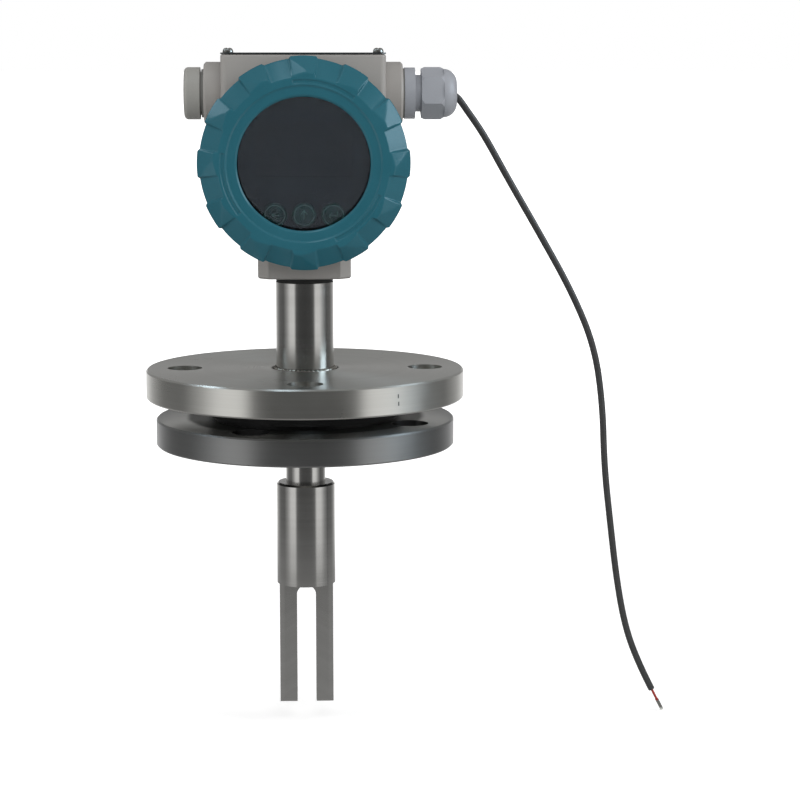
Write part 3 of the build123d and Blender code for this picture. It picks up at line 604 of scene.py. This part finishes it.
def cover_points(outline, face, side):
    """A cover as points[row, column], from the rows (radius, distance) of its outline.

    On a lug, rows on the rim move out to the lug's radius, and rows on the cone spread out with them
    and rise by lug_height, but never past the flat front. side is -1 for the front cover.
    """
    angle = lug_angles()[None, :]
    radius, distance = outline[:, :1], outline[:, 1:]
    offset = np.abs(from_centre(angle, 2 * pi / lug_count))
    inside = smooth_step(lug_half + edge_soft - offset, 0, 2 * edge_soft)
    cone = face - (radius - lip_radius) * cone_fall
    on_cone = (radius > lip_radius) & (np.abs(distance - cone) < cone_near)
    on_rim = radius > rim_radius - rim_near
    back_edge = cover_back + lug_set_back
    wall = on_rim * smooth_step(distance, back_edge, back_edge + lug_back_soft)
    spread = np.where(on_cone, (radius - lip_radius) / (rim_radius - lip_radius), wall)
    grown = radius + inside * spread * (lug_radius - rim_radius)
    lift = inside * (lug_height(grown, angle) - (grown - radius) * cone_fall)
    out = np.where(on_cone, np.minimum(distance + lift, np.maximum(distance, face)), distance)
    out = out - np.where(distance > face - flat_near, groove_sink(radius, angle, side), 0.0)
    return np.stack([grown * np.cos(angle) * -side, side * out, grown * np.sin(angle) + head_z], axis=-1)


def groove_sink(radius, angle, side):
    """Depth of the three arc grooves in the front cover's flat face: a band in radius times an arc."""
    away = np.abs(from_centre(angle, 2 * pi / groove_count, groove_centre))
    arc = smooth_step(groove_half + edge_soft - away, 0, 2 * edge_soft)
    band = smooth_step(radius, groove_inner - groove_edge, groove_inner + groove_edge)
    band = band - smooth_step(radius, groove_outer - groove_edge, groove_outer + groove_edge)
    return groove_depth * arc * band * (side < 0)


def profile(corners, softness):
    """Rows along an outline of corners, each (radius, distance, steps to the next corner).

    A bend rounds each corner B: the curve (1-t)^2 A + 2t(1-t) B + t^2 C, from A before it to C after it.
    """
    share = [np.linspace(0, 1, steps + 1)[1:, None] for _, _, steps in corners[:-1]]
    corners = np.array(corners)[:, :2]
    rows = [corners[:1]]
    bend = np.linspace(0, 1, 5)[1:, None]
    for i in range(1, len(corners) - 1):
        before, here, after = corners[i - 1:i + 2]
        first = here + (before - here) * min(softness / np.linalg.norm(before - here), 0.45)
        last = here + (after - here) * min(softness / np.linalg.norm(after - here), 0.45)
        rows.append(rows[-1][-1] + (first - rows[-1][-1]) * share[i - 1])
        rows.append((1 - bend) ** 2 * first + 2 * bend * (1 - bend) * here + bend ** 2 * last)
    rows.append(rows[-1][-1] + (corners[-1] - rows[-1][-1]) * share[-1])
    return np.concatenate(rows)


# %% Front cover
front_face = -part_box("front_cover")[0].y
low_face = front_face - step_depth
lip_back = front_face - lip_depth
front_outline = profile(
    [
        (thread_radius, cover_back, 2),
        (rim_radius, cover_back, 10),
        (rim_radius, front_face - cone_depth, 20),
        (lip_radius, front_face, 2),
        (groove_outer + groove_edge, front_face, 3),
        (groove_outer - groove_edge, front_face, 3),
        (groove_inner + groove_edge, front_face, 3),
        (groove_inner - groove_edge, front_face, 1),
        (step_outer, front_face, 2),
        (step_inner, low_face, 5),
        (window_radius + window_edge, low_face, 2),
        (window_radius, low_face - window_edge_depth, 4),
        (window_radius, lip_back, 2),
        (pocket_radius, lip_back, 2),
        (pocket_radius, shoulder, 2),
        (thread_radius, shoulder, 2),
        (thread_radius, cover_back, 0),
    ],
    front_softness,
)
front_cover = grid_piece(
    "front_cover_casting", [cover_points(front_outline, front_face, -1)],
    cover_paint, "front_cover",
)
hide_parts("front_cover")

# %% Rear cover
rear_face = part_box("rear_cover")[1].y
rear_outside = profile(
    [
        (thread_radius, cover_back, 2),
        (rim_radius, cover_back, 8),
        (rim_radius, rear_face - cone_depth, 20),
        (lip_radius, rear_face, 8),
        (0.0, rear_face, 0),
    ],
    rear_softness,
)
rear_inside = profile(
    [(thread_radius, cover_back, 2), (thread_radius, shoulder, 4), (0.0, shoulder, 0)], inside_softness,
)
rear_grids = [cover_points(outline, rear_face, 1) for outline in (rear_outside, rear_inside)]
rear_cover = grid_piece("rear_cover_casting", rear_grids, cover_paint, "rear_cover")
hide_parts("rear_cover")

# %% [markdown]
# ## Screws with a cross recess
# A pan-head screw is a turned dome with a cross pressed into it. The dome is a profile carried round the
# screw's axis, and the cross is a dent in it: two bars at right angles, each a band across the head.


# %% Pan-head screws
cross_depth = 0.6
cross_arm = 1 / 8
cross_reach = 0.58
cross_fade = 0.08
cross_wall = 0.3


def pan_screw(radius, height, shank_radius, shank_length):
    """A screw as points[row, column] along +Z, its seat at zero.

    Rows run from the top's middle, over the dome height * (1 - (r/R)^4)^0.5, and down the shank. The
    cross sinks the dome by cross_depth of its height where |x| or |y| is under cross_arm of the head's
    radius, as far out as cross_reach of it. Its walls slope over cross_wall of an arm, and its ends over
    cross_fade of the radius.
    """
    angle = np.linspace(0, 2 * pi, 65)[None, :-1]
    across = radius * np.sin(np.linspace(0, pi / 2, 25))[:, None]
    dome = height * np.sqrt(np.clip(1 - (across / radius) ** 4, 0, 1))
    x, y = across * np.cos(angle), across * np.sin(angle)
    arm = radius * cross_arm
    bars = [smooth_step(-np.abs(side), -arm * (1 + cross_wall), -arm) for side in (x, y)]
    end = smooth_step(-across, -(cross_reach + cross_fade) * radius, -cross_reach * radius)
    head = np.stack([x, y, dome - cross_depth * height * np.maximum(*bars) * end], axis=-1)
    rest = np.array([
        (radius, 0.0), (shank_radius, 0.0), (shank_radius, -shank_length), (0.0, -shank_length),
    ])
    out, down = rest[:, :1], rest[:, 1:]
    shank = np.stack([out * np.cos(angle), out * np.sin(angle), down + 0 * angle], axis=-1)
    return np.concatenate([head, shank])


# %% Plate screws
plate_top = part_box("name_plate")[1].z
screw_low, screw_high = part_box("name_plate_screws")
head_radius = 2.75 * mm
shank_radius = 1.4 * mm
screw = pan_screw(head_radius, screw_high.z - plate_top, shank_radius, plate_top - screw_low.z)
screw_x = screw_high.x - head_radius
places = [np.array([x, 0.0, plate_top]) for x in (-screw_x, screw_x)]
plate_screws = grid_piece(
    "plate_screws", [screw + place for place in places], screw_steel, "meter"
)
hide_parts("name_plate_screws")

# %% Earth screw
earth_low, earth_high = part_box("earth_screw")
washer_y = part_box("earth_washer")[1].y
earth_radius = (earth_high.x - earth_low.x) / 2
earth_shank_radius = 2 * mm
earth = pan_screw(earth_radius, earth_high.y - washer_y, earth_shank_radius, washer_y - earth_low.y)
earth_z = (earth_low.z + earth_high.z) / 2
earth = np.stack([earth[..., 0], earth[..., 2] + washer_y, earth[..., 1] + earth_z], axis=-1)
earth_screw = grid_piece("earth_terminal_screw", [earth], screw_steel, "meter")
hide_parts("earth_screw")

# %% [markdown]
# ## The weld at the stem's foot
# The stem is welded into a groove in the flange. A weld bead is a ring of overlapping puddles, so it is
# a torus whose thickness pulses once for each puddle, and its metal is duller and a little straw-brown.

# %% Weld bead
weld_steel = grained("weld_steel", tone(150, 147, 140), tone(205, 201, 192), 0.22, 700, 0.04 * mm, **metal)
weld_radius = 15.7 * mm
weld_z = 14.4 * mm
weld_half_width = 0.85 * mm
weld_half_height = 1.3 * mm
puddles = 44
puddle_swell = 0.4


def weld_bead():
    """A torus whose thickness is 1 + puddle_swell * (saw - 0.5), in rows round the stem.

    saw climbs from 0 to 1 across each puddle. Columns go round the bead's section.
    """
    around = np.linspace(0, 2 * pi, puddles * 6 + 1)[:, None]
    section = np.linspace(0, 2 * pi, 15)[None, :-1]
    saw = (around * puddles / (2 * pi)) % 1.0
    pulse = 1 + puddle_swell * (saw - 0.5)
    radius = weld_radius + weld_half_width * pulse * np.cos(section)
    height = weld_z + weld_half_height * pulse * np.sin(section)
    return np.stack([radius * np.cos(around), radius * np.sin(around), height], axis=-1)


grid_piece("weld_bead", [weld_bead()], weld_steel, "meter")

# %% [markdown]
# ## Marks on the keys
# Each round key has a pale ring and a plain arrow printed on it. A printed line is a very flat tube, so
# one function carries a flat oval section along any path and closes it to a point at both ends.

# %% Printed lines
key_print = grained("key_print", tone(82, 128, 112), tone(92, 138, 120), 0.5, 1500, 0.005 * mm)
print_height = 0.06 * mm
ring_radius = 4.9 * mm
ring_width = 0.5 * mm
arrow_width = 0.55 * mm


def printed_line(path, width, front):
    """A flat tube along a path of (x, z) points, lying on the plane y = front, tapered at its ends."""
    path = np.array(path)
    along = np.gradient(path, axis=0)
    along /= np.linalg.norm(along, axis=1)[:, None]
    aside = np.stack([-along[:, 1], along[:, 0]], axis=1)
    section = np.linspace(0, 2 * pi, 9)[None, :-1]
    full = np.ones(len(path))
    full[[0, -1]] = 0
    half = (full * width / 2)[:, None] * np.cos(section)
    flat = path[:, None, :] + aside[:, None, :] * half[..., None]
    depth = front - full[:, None] * print_height * np.sin(section)
    return np.stack([flat[..., 0], depth, flat[..., 1]], axis=-1)


def between_points(points, steps=8):
    """Points spread evenly along a broken line."""
    points = np.array(points)
    share = np.linspace(0, len(points) - 1, steps * (len(points) - 1) + 1)
    return np.stack([np.interp(share, np.arange(len(points)), points[:, i]) for i in (0, 1)], axis=1)


# %% Key marks
# the arrows' points, in mm from the key's middle
arrows = {
    "key_left": [[(1.7, 1.7), (-1.6, 0.0), (1.7, -1.7)], [(-1.4, 0.0), (2.4, 0.0)]],
    "key_middle": [[(-1.7, 0.2), (0.0, 2.4), (1.7, 0.2)], [(0.0, 2.2), (0.0, -2.4)]],
    "key_right": [[(-0.6, 1.3), (-2.2, -0.4), (-0.6, -2.1)], [(-2.0, -0.4), (2.0, -0.4), (2.0, 2.0)]],
}
turn = np.linspace(0, 2 * pi, 73)
ring = ring_radius * np.stack([np.cos(turn), np.sin(turn)], axis=1)
for key, strokes in arrows.items():
    low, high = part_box(key)
    middle = np.array([(low.x + high.x) / 2, (low.z + high.z) / 2])
    paths = [middle + between_points(stroke) * mm for stroke in strokes]
    lines = [printed_line(middle + ring, ring_width, low.y)]
    lines += [printed_line(path, arrow_width, low.y) for path in paths]
    grid_piece(f"{key}_mark", lines, key_print, key)

# %% [markdown]
# ## Floor and room
# The meter hangs over a plain white table in a white room. The table has to look white to the camera
# and in reflections, and still show the meter's shadow. So it glows a little, for those rays alone, and
# the glow grows with distance, until table and room meet without a line.

# %% Floor
floor_z = -0.175
glow_near = 0.32
glow_middle = 0.9
glow_fade = 0.6
white = (1.0, 1.0, 1.0, 1.0)
black = (0.0, 0.0, 0.0, 1.0)
pale_floor = Finish("pale_floor", Roughness=0.9, Specular_IOR_Level=0.0, Emission_Strength=1.0)
seen = pale_floor.seen()
x, y, z = pale_floor.place()
far = ((x * x + y * y) ** 0.5).above(glow_middle, glow_fade)
pale_floor.paint(
    Base_Color=pale_floor.between(tone(205, 205, 204), white, seen),
    Emission_Color=pale_floor.between(black, white, seen * (far * (1 - glow_near) + glow_near)),
)
floor_mesh = bpy.data.meshes.new("floor")
span = 40.0
floor_mesh.from_pydata(
    [(-span, -span, floor_z), (span, -span, floor_z), (span, span, floor_z), (-span, span, floor_z)],
    [], [(0, 1, 2, 3)],
)
floor_mesh.materials.append(pale_floor.material)
floor = bpy.data.objects.new("floor", floor_mesh)
bpy.context.scene.collection.objects.link(floor)
print("floor at", floor_z)

# %% World
room_level = 0.5
world = bpy.data.worlds.new("room")
bpy.context.scene.world = world
world.use_nodes = True
room = Nodes(world.node_tree)
background = world.node_tree.nodes["Background"]
background.inputs["Color"].default_value = white
room.feed(background.inputs["Strength"], room.seen() * (1 - room_level) + room_level)
print("room lights things at", room_level)

# %% [markdown]
# ## What the steel reflects
# Polished steel shows the room more than its own colour. The photograph has a dark room behind the
# camera, a window at each side and a light wall far behind. A round drum carries those tones, and it
# shows in reflections only. It stands close and has a floor of its own, because steel seen from above
# reflects downward, and would have nothing but white table to show. The lugs' facets look elsewhere, so
# three small bright panes hang in the drum where they look.


# %% Objects that show in reflections only
def reflected_only(name, mesh, finish):
    """A stage object that no ray but a mirror's can see."""
    mesh.materials.append(finish.material)
    thing = bpy.data.objects.new(name, mesh)
    bpy.context.scene.collection.objects.link(thing)
    thing.visible_camera = False
    thing.visible_diffuse = False
    thing.visible_shadow = False
    thing.visible_transmission = False
    thing.visible_volume_scatter = False
    print(name, "shows in reflections only")


# %% Reflection drum
foot_height = 0.05
foot_fade = 0.04
lid_drop = 0.25
lid_fade = 0.2
table_radius = 0.42
table_fade = 0.12


def reflection_drum(name, low, high, radius, stops, upper, lid):
    """A drum round the meter whose brightness follows the angle from the front, alike on both sides.

    stops holds (angle in degrees, brightness). Above its foot the wall is never brighter than upper,
    because the top of a flange and the paint reflect that part. The lid and the middle of the drum's
    floor have one brightness.
    """
    finish = Finish(name, Roughness=1.0, Base_Color=black, Emission_Strength=1.0)
    x, y, z = finish.place()
    aside = x.math("ABSOLUTE", x)
    angle = aside.math("ARCTAN2", aside, y * -1) / pi
    ramp = finish.add("ShaderNodeValToRGB", None, {0: angle})
    band = ramp.socket.node.color_ramp
    while len(band.elements) < len(stops):
        band.elements.new(0.5)
    for element, (degrees_round, bright) in zip(band.elements, stops):
        element.position = degrees_round / 180
        element.color = (bright, bright, bright, 1)
    wall = ramp.math("MINIMUM", ramp, 1 - z.above(foot_height, foot_fade) * (1 - upper))
    lid_share = z.above(high - lid_drop, lid_fade)
    table_share = 1 - ((x * x + y * y) ** 0.5).above(table_radius, table_fade)
    share = z.math("MAXIMUM", lid_share, table_share)
    finish.paint(Emission_Color=wall + (lid - wall) * share)
    around = np.linspace(0, 2 * pi, 97)[None, :-1]
    rows = np.array([(0.0, low), (radius, low), (radius, high), (0.0, high)])
    out, up = rows[:, :1], rows[:, 1:]
    drum = np.stack([out * np.sin(around), out * np.cos(around), up + 0 * around], axis=-1)
    reflected_only(name, surface_mesh(name, [drum]), finish)


room_tones = [
    (0, 0.062), (22, 0.072), (35, 0.14), (43, 1.0), (60, 0.95),
    (76, 0.4), (92, 0.13), (118, 0.17), (138, 0.42), (160, 1.0),
]
reflection_drum(
    "reflection_drum", low=floor_z + 2 * mm, high=0.9, radius=0.75, stops=room_tones, upper=0.26, lid=0.3,
)


# %% Directions
def away_from(azimuth, elevation):
    """The direction to an azimuth in degrees, right of the front, and an elevation."""
    a, e = radians(azimuth), radians(elevation)
    return np.array([sin(a) * cos(e), -cos(a) * cos(e), sin(e)])


# %% Window panes
sky = (0.72, 0.88, 1.0, 1.0)
pane_distance = 0.6


def pane(name, azimuth, elevation, width, height, bright):
    """A bright rectangle that faces the covers' axis."""
    finish = Finish(name, Roughness=1.0, Base_Color=black, Emission_Color=sky, Emission_Strength=bright)
    away = away_from(azimuth, elevation)
    aside = np.array([cos(radians(azimuth)), sin(radians(azimuth)), 0.0])
    up = np.cross(away, aside)
    middle = np.array([0.0, 0.0, head_z]) + away * pane_distance
    across = np.linspace(-width / 2, width / 2, 3)[None, :, None]
    rise = np.linspace(-height / 2, height / 2, 3)[:, None, None]
    square = middle + across * aside + rise * up
    reflected_only(name, surface_mesh(name, [square], ring=False), finish)


pane("right_pane", azimuth=79, elevation=19, width=0.28, height=0.3, bright=4.8)
pane("ceiling_pane", azimuth=-26, elevation=63, width=0.15, height=0.15, bright=3.0)
pane("left_pane", azimuth=-91, elevation=38, width=0.16, height=0.16, bright=4.0)

# %% [markdown]
# ## Lamps
# Four large lamps light the paint: a window at each side, a ceiling and a fill from the front. They are
# kept low, so that a colour shows about as it is written.


# %% Lamps
lamp_aim = np.array([0.0, 0.0, 0.06])


def soft_lamp(name, azimuth, elevation, distance, size, power):
    """A large square lamp at an azimuth from the front and an elevation, facing the meter."""
    data = bpy.data.lights.new(name, "AREA")
    data.shape = "SQUARE"
    data.size = size
    data.energy = power
    lamp = bpy.data.objects.new(name, data)
    lamp.location = lamp_aim + away_from(azimuth, elevation) * distance
    lamp.rotation_euler = (pi / 2 - radians(elevation), 0, radians(azimuth))
    lamp.visible_glossy = False
    lamp.visible_transmission = False
    bpy.context.scene.collection.objects.link(lamp)


soft_lamp("right_window", azimuth=72, elevation=22, distance=1.8, size=1.0, power=11.5)
soft_lamp("left_window", azimuth=-66, elevation=24, distance=1.8, size=1.0, power=8)
soft_lamp("ceiling", azimuth=0, elevation=78, distance=2.0, size=1.6, power=4)
soft_lamp("front_fill", azimuth=8, elevation=24, distance=1.8, size=1.0, power=11)
print("lamps", len(bpy.data.lights))

# %% [markdown]
# ## Picture settings
# The colours are shown as they are written, with the plain Standard view.

# %% Finish
bpy.context.scene.view_settings.view_transform = "Standard"
